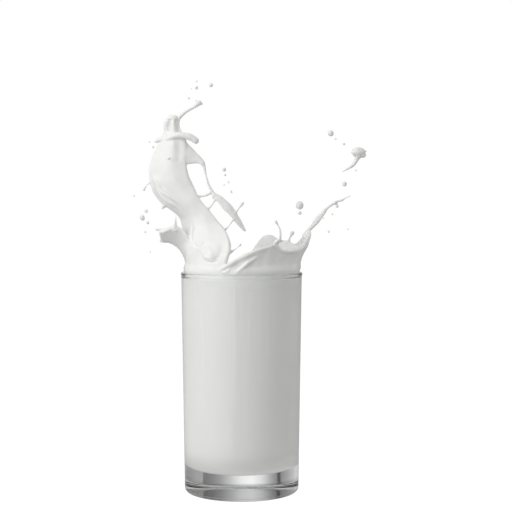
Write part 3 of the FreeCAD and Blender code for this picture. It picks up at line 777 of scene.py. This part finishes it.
def strandTree():
    # Geometry Nodes: tubes along the strands' centre lines, thick as the points say
    inputs = {"Centre Lines": "Geometry", "Sides": "Int"}
    tree, nodes, given = newTree("strandTubes", inputs, "Tubes")
    ring = nodes.new("GeometryNodeCurvePrimitiveCircle")
    ring.inputs["Radius"].default_value = 1.0
    size = nodes.new("GeometryNodeInputRadius")
    sweep = nodes.new("GeometryNodeCurveToMesh")
    sweep.inputs["Fill Caps"].default_value = True
    join(given, "Sides", ring, "Resolution")
    join(given, "Centre Lines", sweep, "Curve")
    join(ring, "Curve", sweep, "Profile Curve")
    join(size, "Radius", sweep, "Scale")
    return closeTree(tree, sweep.outputs["Mesh"], milkSkin)


def makeStrands(group, title):
    # one mesh of round tubes, one for each strand of a group
    curve = bpy.data.curves.new(title, "CURVE")
    curve.dimensions = "3D"
    for stations in group.values():
        run = throughStations(stations, 10 * len(stations))
        spots, radius = inPlace(run[:, :3]), run[:, 3] * mm
        # a round tip: a few more points past the last one, on a half circle
        tail = []
        way = spots[-1] - spots[-2]
        way /= np.linalg.norm(way)
        for share in (0.45, 0.75, 0.93, 1.0):
            thinner = radius[-1] * max(math.sqrt(1 - share**2), 0.05)
            tail.append((spots[-1] + way * radius[-1] * share, thinner))
        spots = np.vstack([spots, [p for p, _ in tail]])
        radius = np.concatenate([radius, [r for _, r in tail]])
        line = curve.splines.new("POLY")
        line.points.add(len(spots) - 1)
        for point, spot, r in zip(line.points, spots, radius):
            point.co = (*spot, 1.0)
            point.radius = r
    thing = bpy.data.objects.new(title, curve)
    scene.collection.objects.link(thing)
    return runTree(thing, strandTree(), {"Sides": 14}, title)


def fieldTree(parts, low, high, voxel, blends, grooves=()):
    # Geometry Nodes: each part becomes a distance grid, the grids are melted into one
    # surface by smooth minimum, and the surface is kept inside the glass
    inputs = {"Carrier": "Geometry", "Voxel": "Float"}
    tree, nodes, given = newTree("milkField", inputs, "Milk")
    maths = mathsIn(tree)
    where = nodes.new("GeometryNodeInputPosition")

    def distanceTo(part):
        info = nodes.new("GeometryNodeObjectInfo")
        info.inputs["Object"].default_value = part
        grid = nodes.new("GeometryNodeMeshToSDFGrid")
        grid.inputs["Band Width"].default_value = milk["band"]
        sample = nodes.new("GeometryNodeSampleGrid")
        join(info, "Geometry", grid, "Mesh")
        join(given, "Voxel", grid, "Voxel Size")
        join(grid, "SDF Grid", sample, "Grid")
        join(where, "Position", sample, "Position")
        return sample.outputs["Value"]

    total = distanceTo(parts[0])
    for part, blend in zip(parts[1:], blends[1:]):
        total = maths("SMOOTH_MIN", total, distanceTo(part), blend * mm)
    for groove, softness in grooves:
        pressedIn = maths("MULTIPLY", distanceTo(groove), -1.0)
        total = maths("SMOOTH_MAX", total, pressedIn, softness * mm)

    # a slow unevenness over the rim, as moving liquid has
    noise = nodes.new("ShaderNodeTexNoise")
    noise.inputs["Scale"].default_value = 1 / milk["swellSize"]
    noise.inputs["Detail"].default_value = 1.5
    join(where, "Position", noise, "Vector")
    offset = maths("MULTIPLY", maths("SUBTRACT", noise.outputs["Fac"], 0.5), milk["swellDepth"])
    total = maths("ADD", total, offset)

    # keep inside the mouth: the wall under the fill line, the bead's inner side over it
    split = nodes.new("ShaderNodeSeparateXYZ")
    join(where, "Position", split, "Vector")
    x, y, z = split.outputs
    radial = maths("SQRT", maths("ADD", maths("MULTIPLY", x, x), maths("MULTIPLY", y, y)))
    lowWall = hollowRadius(tumbler["baseThickness"])
    slope = (hollowRadius(beadHeight) - lowWall) / (beadHeight - tumbler["baseThickness"])
    wallFoot = lowWall - slope * tumbler["baseThickness"] + milk["intoWall"] * mm
    wallHere = maths("MULTIPLY_ADD", z, slope, wallFoot)
    mouth = mouthRadius + (0.25 - milk["beadClearance"]) * mm
    overFill = maths("GREATER_THAN", z, rimHeight - milk["belowRim"] * mm + 0.0002)
    underFill = maths("SUBTRACT", 1.0, overFill)
    limit = maths("ADD", maths("MULTIPLY", wallHere, underFill), maths("MULTIPLY", mouth, overFill))
    # over the rim the limit opens three times as fast as it rises
    overRim = maths("MAXIMUM", maths("SUBTRACT", z, rimHeight - 0.0004), 0.0)
    free = maths("MULTIPLY", overRim, 3.0)
    outside = maths("SUBTRACT", maths("SUBTRACT", radial, limit), free)
    total = maths("MAXIMUM", total, outside)

    density = maths("MULTIPLY_ADD", total, -100.0, 1.0)     # 1 on the surface, more inside
    block = nodes.new("GeometryNodeVolumeCube")
    low, high = np.array(low), np.array(high)
    counts = np.ceil((high - low) / voxel).astype(int)
    high = low + counts * voxel
    block.inputs["Min"].default_value = tuple(low)
    block.inputs["Max"].default_value = tuple(high)
    for axis, n in zip("XYZ", counts):
        block.inputs[f"Resolution {axis}"].default_value = int(n)
    tree.links.new(density, block.inputs["Density"])
    toMesh = nodes.new("GeometryNodeVolumeToMesh")
    toMesh.resolution_mode = "GRID"
    toMesh.inputs["Threshold"].default_value = 1.0
    toMesh.inputs["Adaptivity"].default_value = 0.0
    centre = nodes.new("GeometryNodeSetPosition")       # grid samples sit at voxel centres
    centre.inputs["Offset"].default_value = (voxel / 2,) * 3
    join(block, "Volume", toMesh, "Volume")
    join(toMesh, "Mesh", centre, "Geometry")
    return closeTree(tree, centre.outputs["Geometry"], milkSkin)


blob = {"voxel": 0.2, "blend": 1.6, "margin": 2.0}     # in mm


def makeBlob():
    # the blob in the air, melted from its own two strands
    parts = [makeStrands({name: stations}, name) for name, stations in blobStrands.items()]
    ends = np.vstack([meshPoints(part.data) for part in parts])
    voxel, margin = blob["voxel"] * mm, blob["margin"] * mm
    carrier = newMesh("blobCarrier", [(0, 0, 0)], [])
    low, high = ends.min(0) - margin, ends.max(0) + margin
    tree = fieldTree(parts, low, high, voxel, [0.0, blob["blend"]])
    made = runTree(carrier, tree, {"Voxel": voxel}, "looseBlob")
    for part in parts:
        bpy.data.objects.remove(part)
    made.data.shade_smooth()
    return made


def makeSplash():
    # every part of the splash melted into one liquid surface, open nowhere
    parts = [makePool(), makeCrown()]
    blends = [0.0, milk["crownBlend"]]
    for name, (rows, half, edge, blend) in sheets.items():
        parts.append(makeSheet(name, rows, half, edge))
        blends.append(blend)
    parts += [makeStrands(thinStrands, "thinStrands"), makeStrands(foldStrands, "foldStrands")]
    blends += [milk["thinBlend"], milk["foldBlend"]]
    grooves = [
        (makeStrands(hollowStrands, "hollowStrands"), milk["hollowBlend"]),
        (makeStrands(slitStrands, "slitStrands"), milk["slitBlend"]),
    ]
    voxel = milk["voxel"] * mm * 1.0
    ends = np.vstack([meshPoints(p.data) for p in parts[1:]])
    low = ends.min(0) - 0.003
    high = ends.max(0) + 0.003
    low[0], low[1] = min(low[0], -0.034), min(low[1], -0.034)
    high[0], high[1] = max(high[0], 0.034), max(high[1], 0.034)
    low[2] = rimHeight - (milk["cutBelowRim"] + 2.0) * mm
    carrier = newMesh("splashCarrier", [(0, 0, 0)], [])
    tree = fieldTree(parts, low, high, voxel, blends, grooves)
    made = runTree(carrier, tree, {"Voxel": voxel}, "splash")
    for part in parts + [groove for groove, _ in grooves]:
        bpy.data.objects.remove(part)
    return made


def fillProfile():
    # radii and heights of the milk under the cut, down its wall to the middle of its floor
    top = rimHeight - milk["cutBelowRim"] * mm
    low = tumbler["baseThickness"]
    into = milk["intoWall"] * mm
    bend = tumbler["cornerRound"]
    heights = list(np.linspace(top, low + bend * 1.15, 16))[1:]
    rings = [(hollowRadius(h) + into, h) for h in heights]
    corner = cornerArc(
        (hollowRadius(top) + into, top), (hollowRadius(low) + into, low - into),
        (0, low - into), bend, 9
    )
    rings += corner
    rings += [(corner[-1][0] * share, low - into) for share in (0.85, 0.6, 0.35, 0.12)]
    return rings


def makeMilk():
    splash = makeSplash()
    print("splash melted:", len(splash.data.polygons), "faces")
    work = bmesh.new()
    work.from_mesh(splash.data)
    cut = rimHeight - milk["cutBelowRim"] * mm
    bmesh.ops.bisect_plane(
        work, geom=work.verts[:] + work.edges[:] + work.faces[:], dist=1e-7,
        plane_co=(0, 0, cut), plane_no=(0, 0, -1), clear_outer=True,
    )
    bmesh.ops.remove_doubles(work, verts=work.verts, dist=1e-6)
    # settle the wall side exactly on the hollow's cone
    fillLine = rimHeight - (milk["belowRim"] + 0.3) * mm
    for v in work.verts:
        reach = math.hypot(v.co.x, v.co.y)
        wall = hollowRadius(v.co.z) + milk["intoWall"] * mm
        if v.co.z < fillLine and abs(reach - wall) < 0.5 * mm:
            v.co.x *= wall / reach
            v.co.y *= wall / reach
    loop = [e for e in work.edges if e.is_boundary]
    for ring, height in fillProfile():
        made = bmesh.ops.extrude_edge_only(work, edges=loop)["geom"]
        fresh = [g for g in made if isinstance(g, bmesh.types.BMVert)]
        loop = [g for g in made if isinstance(g, bmesh.types.BMEdge)]
        for v in fresh:
            reach = math.hypot(v.co.x, v.co.y)
            v.co = (v.co.x * ring / reach, v.co.y * ring / reach, height)
    bmesh.ops.edgeloop_fill(work, edges=loop)
    bmesh.ops.triangulate(work, faces=[f for f in work.faces if len(f.verts) > 4])
    bmesh.ops.recalc_face_normals(work, faces=work.faces)
    work.to_mesh(splash.data)
    work.free()
    triangles = sum(len(face.vertices) - 2 for face in splash.data.polygons)
    if triangles > milk["triangles"]:
        thin = splash.modifiers.new("thin", "DECIMATE")
        thin.ratio = milk["triangles"] / triangles
        splash = asPlainMesh(splash, "milkBody")
    splash.data.shade_smooth()
    splash.name = splash.data.name = "milkBody"
    return splash


milkPiece = makeMilk()
points = meshPoints(milkPiece.data)
print("milk made:", len(milkPiece.data.polygons), "faces", points.min(0), points.max(0))


# x, y, height over the rim, radius, all in mm, and how many times longer than wide
drops = [
    (-24.1, -9, 103.4, 0.5, 1.0), (-24.2, -9, 99.9, 0.93, 1.0), (-16.3, -9, 101.3, 1.1, 1.0),
    (-28.3, -9, 94.3, 0.6, 1.0), (-26.9, -9, 99.4, 0.27, 1.0), (-49.9, -4, 70.9, 0.5, 1.0),
    (-47.9, -4, 68.2, 0.65, 1.0), (-38.9, -14, 61.9, 0.8, 1.0), (-9.2, -12, 56.0, 1.1, 1.0),
    (-8.7, -12, 53.1, 0.65, 1.0), (-9.4, -12, 47.6, 0.45, 1.0), (-7.0, -12, 49.3, 0.35, 2.6),
    (-5.4, -12, 44.0, 0.5, 2.0), (-58.6, -2, 41.7, 0.45, 1.0), (-52.0, -2, 33.3, 0.93, 1.0),
    (-54.1, -2, 29.8, 1.3, 1.3), (-51.1, -2, 27.1, 0.8, 1.2), (-52.5, -2, 21.9, 0.55, 1.0),
    (-50.0, 0, 11.0, 0.45, 1.0), (32.0, 8, 36.2, 2.1, 1.1), (32.1, 8, 32.0, 1.0, 1.0),
    (56.5, 5, 48.0, 1.3, 1.0), (49.8, 4, 31.5, 0.55, 1.0), (45.0, 4, 29.2, 0.33, 1.0),
    (47.8, 4, 21.9, 0.6, 1.0), (58.3, 4, 23.2, 0.45, 1.0), (48.9, 6, 75.8, 1.65, 1.0),
    (51.6, 6, 72.7, 0.5, 1.0), (56.2, 6, 69.9, 0.7, 1.0), (68.1, 6, 65.9, 0.5, 1.0),
    (62.8, 6, 55.5, 0.5, 1.0),
]


def dropTree():
    # Geometry Nodes: a round drop on every point, sized by the point's own numbers
    inputs = {"Spots": "Geometry", "Finest Cut": "Int"}
    tree, nodes, given = newTree("looseDrops", inputs, "Drops")
    ball = nodes.new("GeometryNodeMeshIcoSphere")
    ball.inputs["Radius"].default_value = 1.0
    smooth = nodes.new("GeometryNodeSetShadeSmooth")
    scatter = nodes.new("GeometryNodeInstanceOnPoints")
    for name, socket in (("dropSize", "Scale"), ("dropLean", "Rotation")):
        stored = nodes.new("GeometryNodeInputNamedAttribute")
        stored.data_type = "FLOAT_VECTOR"
        stored.inputs["Name"].default_value = name
        join(stored, "Attribute", scatter, socket)
    join(given, "Finest Cut", ball, "Subdivisions")
    join(ball, "Mesh", smooth, "Geometry")
    join(given, "Spots", scatter, "Points")
    join(smooth, "Geometry", scatter, "Instance")
    return closeTree(tree, scatter.outputs["Instances"], milkSkin)


def makeDrops():
    spots = inPlace([d[:3] for d in drops])
    carrier = newMesh("looseDrops", spots, [])
    sizes = [(d[3] * mm, d[3] * mm, d[3] * d[4] * mm) for d in drops]
    leans = [(0.0, -0.45, 0.0) if d[4] > 1.15 else (0.0, 0.0, 0.0) for d in drops]
    for name, values in (("dropSize", sizes), ("dropLean", leans)):
        layer = carrier.data.attributes.new(name, "FLOAT_VECTOR", "POINT")
        layer.data.foreach_set("vector", np.array(values, np.float32).ravel())
    return runTree(carrier, dropTree(), {"Finest Cut": 4}, "looseDrops")


dropPiece = makeDrops()
blobPiece = makeBlob()
print("drops made:", len(dropPiece.data.polygons), "faces")


tumblerPiece.visible_shadow = False          # light reaches the milk through the clear wall
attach(tumblerPiece, "root")
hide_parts("glass")
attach(milkPiece, "root")
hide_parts("milk")
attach(dropPiece, "root")
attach(blobPiece, "root")
print("pieces ride on the frame")


studio = {
    "ambient": 0.555,
    "tableLight": 0.9,       # light that comes up through the foot
    "skyShare": 0.62,
    "backdrop": 1.0,
    "floorTone": 0.5,
    "floorGlow": 1.32,
    "floorEven": 0.72,       # share of the floor's tone that no shadow reaches
    "floorHalf": 3.0,
    "floorDrop": 0.0003,
}
# each lamp's place, size and power
lamps = {
    "keyLeft": ((-1.05, -0.6, 0.6), (1.1, 1.2), 8.7),
    "fillFront": ((0.45, -0.6, 1.0), (0.7, 0.7), 0.5),
    "topLeft": ((-0.45, -0.45, 1.1), (0.6, 0.6), 1.0),
    "rimRight": ((0.8, 0.45, 0.4), (0.4, 0.8), 1.0),
}
# azimuth in degrees and tone of what is seen through the clear base
surround = [
    (-180, 0.5), (-90, 0.8), (-65, 0.75), (-54, 0.51), (-47, 0.44), (-42, 0.36), (-36, 0.3),
    (-31.5, 0.22), (-30.5, 0.04), (-28.5, 0.04), (-27.5, 0.24), (-25, 0.28), (-20, 0.45),
    (-14, 0.74), (-7, 0.95), (0, 0.85), (7, 0.55), (14, 0.32), (20, 0.22), (27, 0.17),
    (29.6, 0.17), (30.4, 0.36), (41, 0.33), (49, 0.28), (58, 0.24), (66, 0.22), (90, 0.5),
    (180, 0.5),
]
view = {
    "lens": 106.8,
    "sensor": 36.0,
    "aside": 0.0079,
    "away": 0.830,
    "overRim": 0.058,
    "aimOverRim": 0.0087,
}


def makeFloor():
    half, z = studio["floorHalf"], -studio["floorDrop"]
    corners = [(-half, -half, z), (half, -half, z), (half, half, z), (-half, half, z)]
    floor = newMesh("floor", corners, [(0, 1, 2, 3)], False)
    material, nodes = newMaterial("paleFloor")
    skin = nodes["Principled BSDF"]
    skin.inputs["Base Color"].default_value = (studio["floorTone"],) * 3 + (1.0,)
    skin.inputs["Roughness"].default_value = 0.7
    glow = nodes.new("ShaderNodeEmission")
    glow.inputs["Strength"].default_value = studio["floorGlow"]
    seen = nodes.new("ShaderNodeLightPath")
    mix = nodes.new("ShaderNodeMixShader")
    part = nodes.new("ShaderNodeMath")
    part.operation = "MULTIPLY"
    part.inputs[1].default_value = studio["floorEven"]
    join(seen, "Is Camera Ray", part, 0)
    join(part, 0, mix, "Fac")
    join(skin, "BSDF", mix, 1)
    join(glow, "Emission", mix, 2)
    join(mix, "Shader", nodes["Material Output"], "Surface")
    floor.data.materials.append(material)
    floor.visible_transmission = False
    return floor


def makeWorld():
    # white to look at; behind the clear glass a lit table and backdrop, and soft light all round
    world = bpy.data.worlds.new("studio")
    scene.world = world
    world.use_nodes = True
    nodes, links = world.node_tree.nodes, world.node_tree.links
    shown = nodes["Background"]
    shown.inputs["Strength"].default_value = studio["backdrop"]
    shown.inputs["Color"].default_value = (1, 1, 1, 1)
    maths = mathsIn(world.node_tree)
    way = nodes.new("ShaderNodeTexCoord")
    split = nodes.new("ShaderNodeSeparateXYZ")
    join(way, "Generated", split, "Vector")
    x, y, z = split.outputs
    turn = maths("MULTIPLY_ADD", maths("ARCTAN2", x, y), 0.5 / math.pi, 0.5)
    ramp = nodes.new("ShaderNodeValToRGB")
    links.new(turn, ramp.inputs["Fac"])
    first, last = ramp.color_ramp.elements[0], ramp.color_ramp.elements[1]
    first.position, first.color = 0.0, (surround[0][1],) * 3 + (1,)
    last.position, last.color = 1.0, (surround[-1][1],) * 3 + (1,)
    for at, tone in surround[1:-1]:
        stop = ramp.color_ramp.elements.new(0.5 + at / 360)
        stop.color = (tone,) * 3 + (1,)
    up = maths("MULTIPLY_ADD", z, 5.0, 0.5, clamp=True)
    fade = maths("MULTIPLY_ADD", up, studio["skyShare"] - 1.0, 1.0)
    seen = maths("MULTIPLY", ramp.outputs["Color"], fade)
    below = maths("MULTIPLY_ADD", z, -4.0, 0.3, clamp=True)
    extra = studio["tableLight"] - studio["ambient"]
    soft = maths("MULTIPLY_ADD", below, extra, studio["ambient"])
    path = nodes.new("ShaderNodeLightPath")
    lighting = maths("GREATER_THAN", path.outputs["Diffuse Depth"], 0.5)
    looking = maths("SUBTRACT", 1.0, lighting)
    tone = maths("ADD", maths("MULTIPLY", soft, lighting), maths("MULTIPLY", seen, looking))
    lit = nodes.new("ShaderNodeBackground")
    links.new(tone, lit.inputs["Color"])
    mix = nodes.new("ShaderNodeMixShader")
    join(path, "Is Camera Ray", mix, "Fac")
    join(lit, "Background", mix, 1)
    join(shown, "Background", mix, 2)
    join(mix, "Shader", nodes["World Output"], "Surface")


def makeLight(name, place, aim, size, power):
    light = bpy.data.lights.new(name, "AREA")
    light.shape = "RECTANGLE"
    light.size, light.size_y = size
    light.energy = power
    thing = bpy.data.objects.new(name, light)
    thing.location = place
    thing.rotation_euler = (Vector(aim) - Vector(place)).to_track_quat("-Z", "Y").to_euler()
    thing.visible_transmission = False
    scene.collection.objects.link(thing)


def makeCamera():
    camera = bpy.data.cameras.new("camera")
    camera.lens = view["lens"]
    camera.sensor_width = view["sensor"]
    thing = bpy.data.objects.new("camera", camera)
    thing.location = (view["aside"], -view["away"], rimHeight + view["overRim"])
    aim = Vector((view["aside"], 0, rimHeight + view["aimOverRim"]))
    thing.rotation_euler = (aim - thing.location).to_track_quat("-Z", "Y").to_euler()
    scene.collection.objects.link(thing)
    scene.camera = thing


makeFloor()
makeWorld()
middle = (0, 0, rimHeight * 0.8)
for name, (place, size, power) in lamps.items():
    makeLight(name, place, middle, size, power)
makeCamera()
scene.view_settings.view_transform = "Standard"
scene.view_settings.look = "None"
print("studio made")
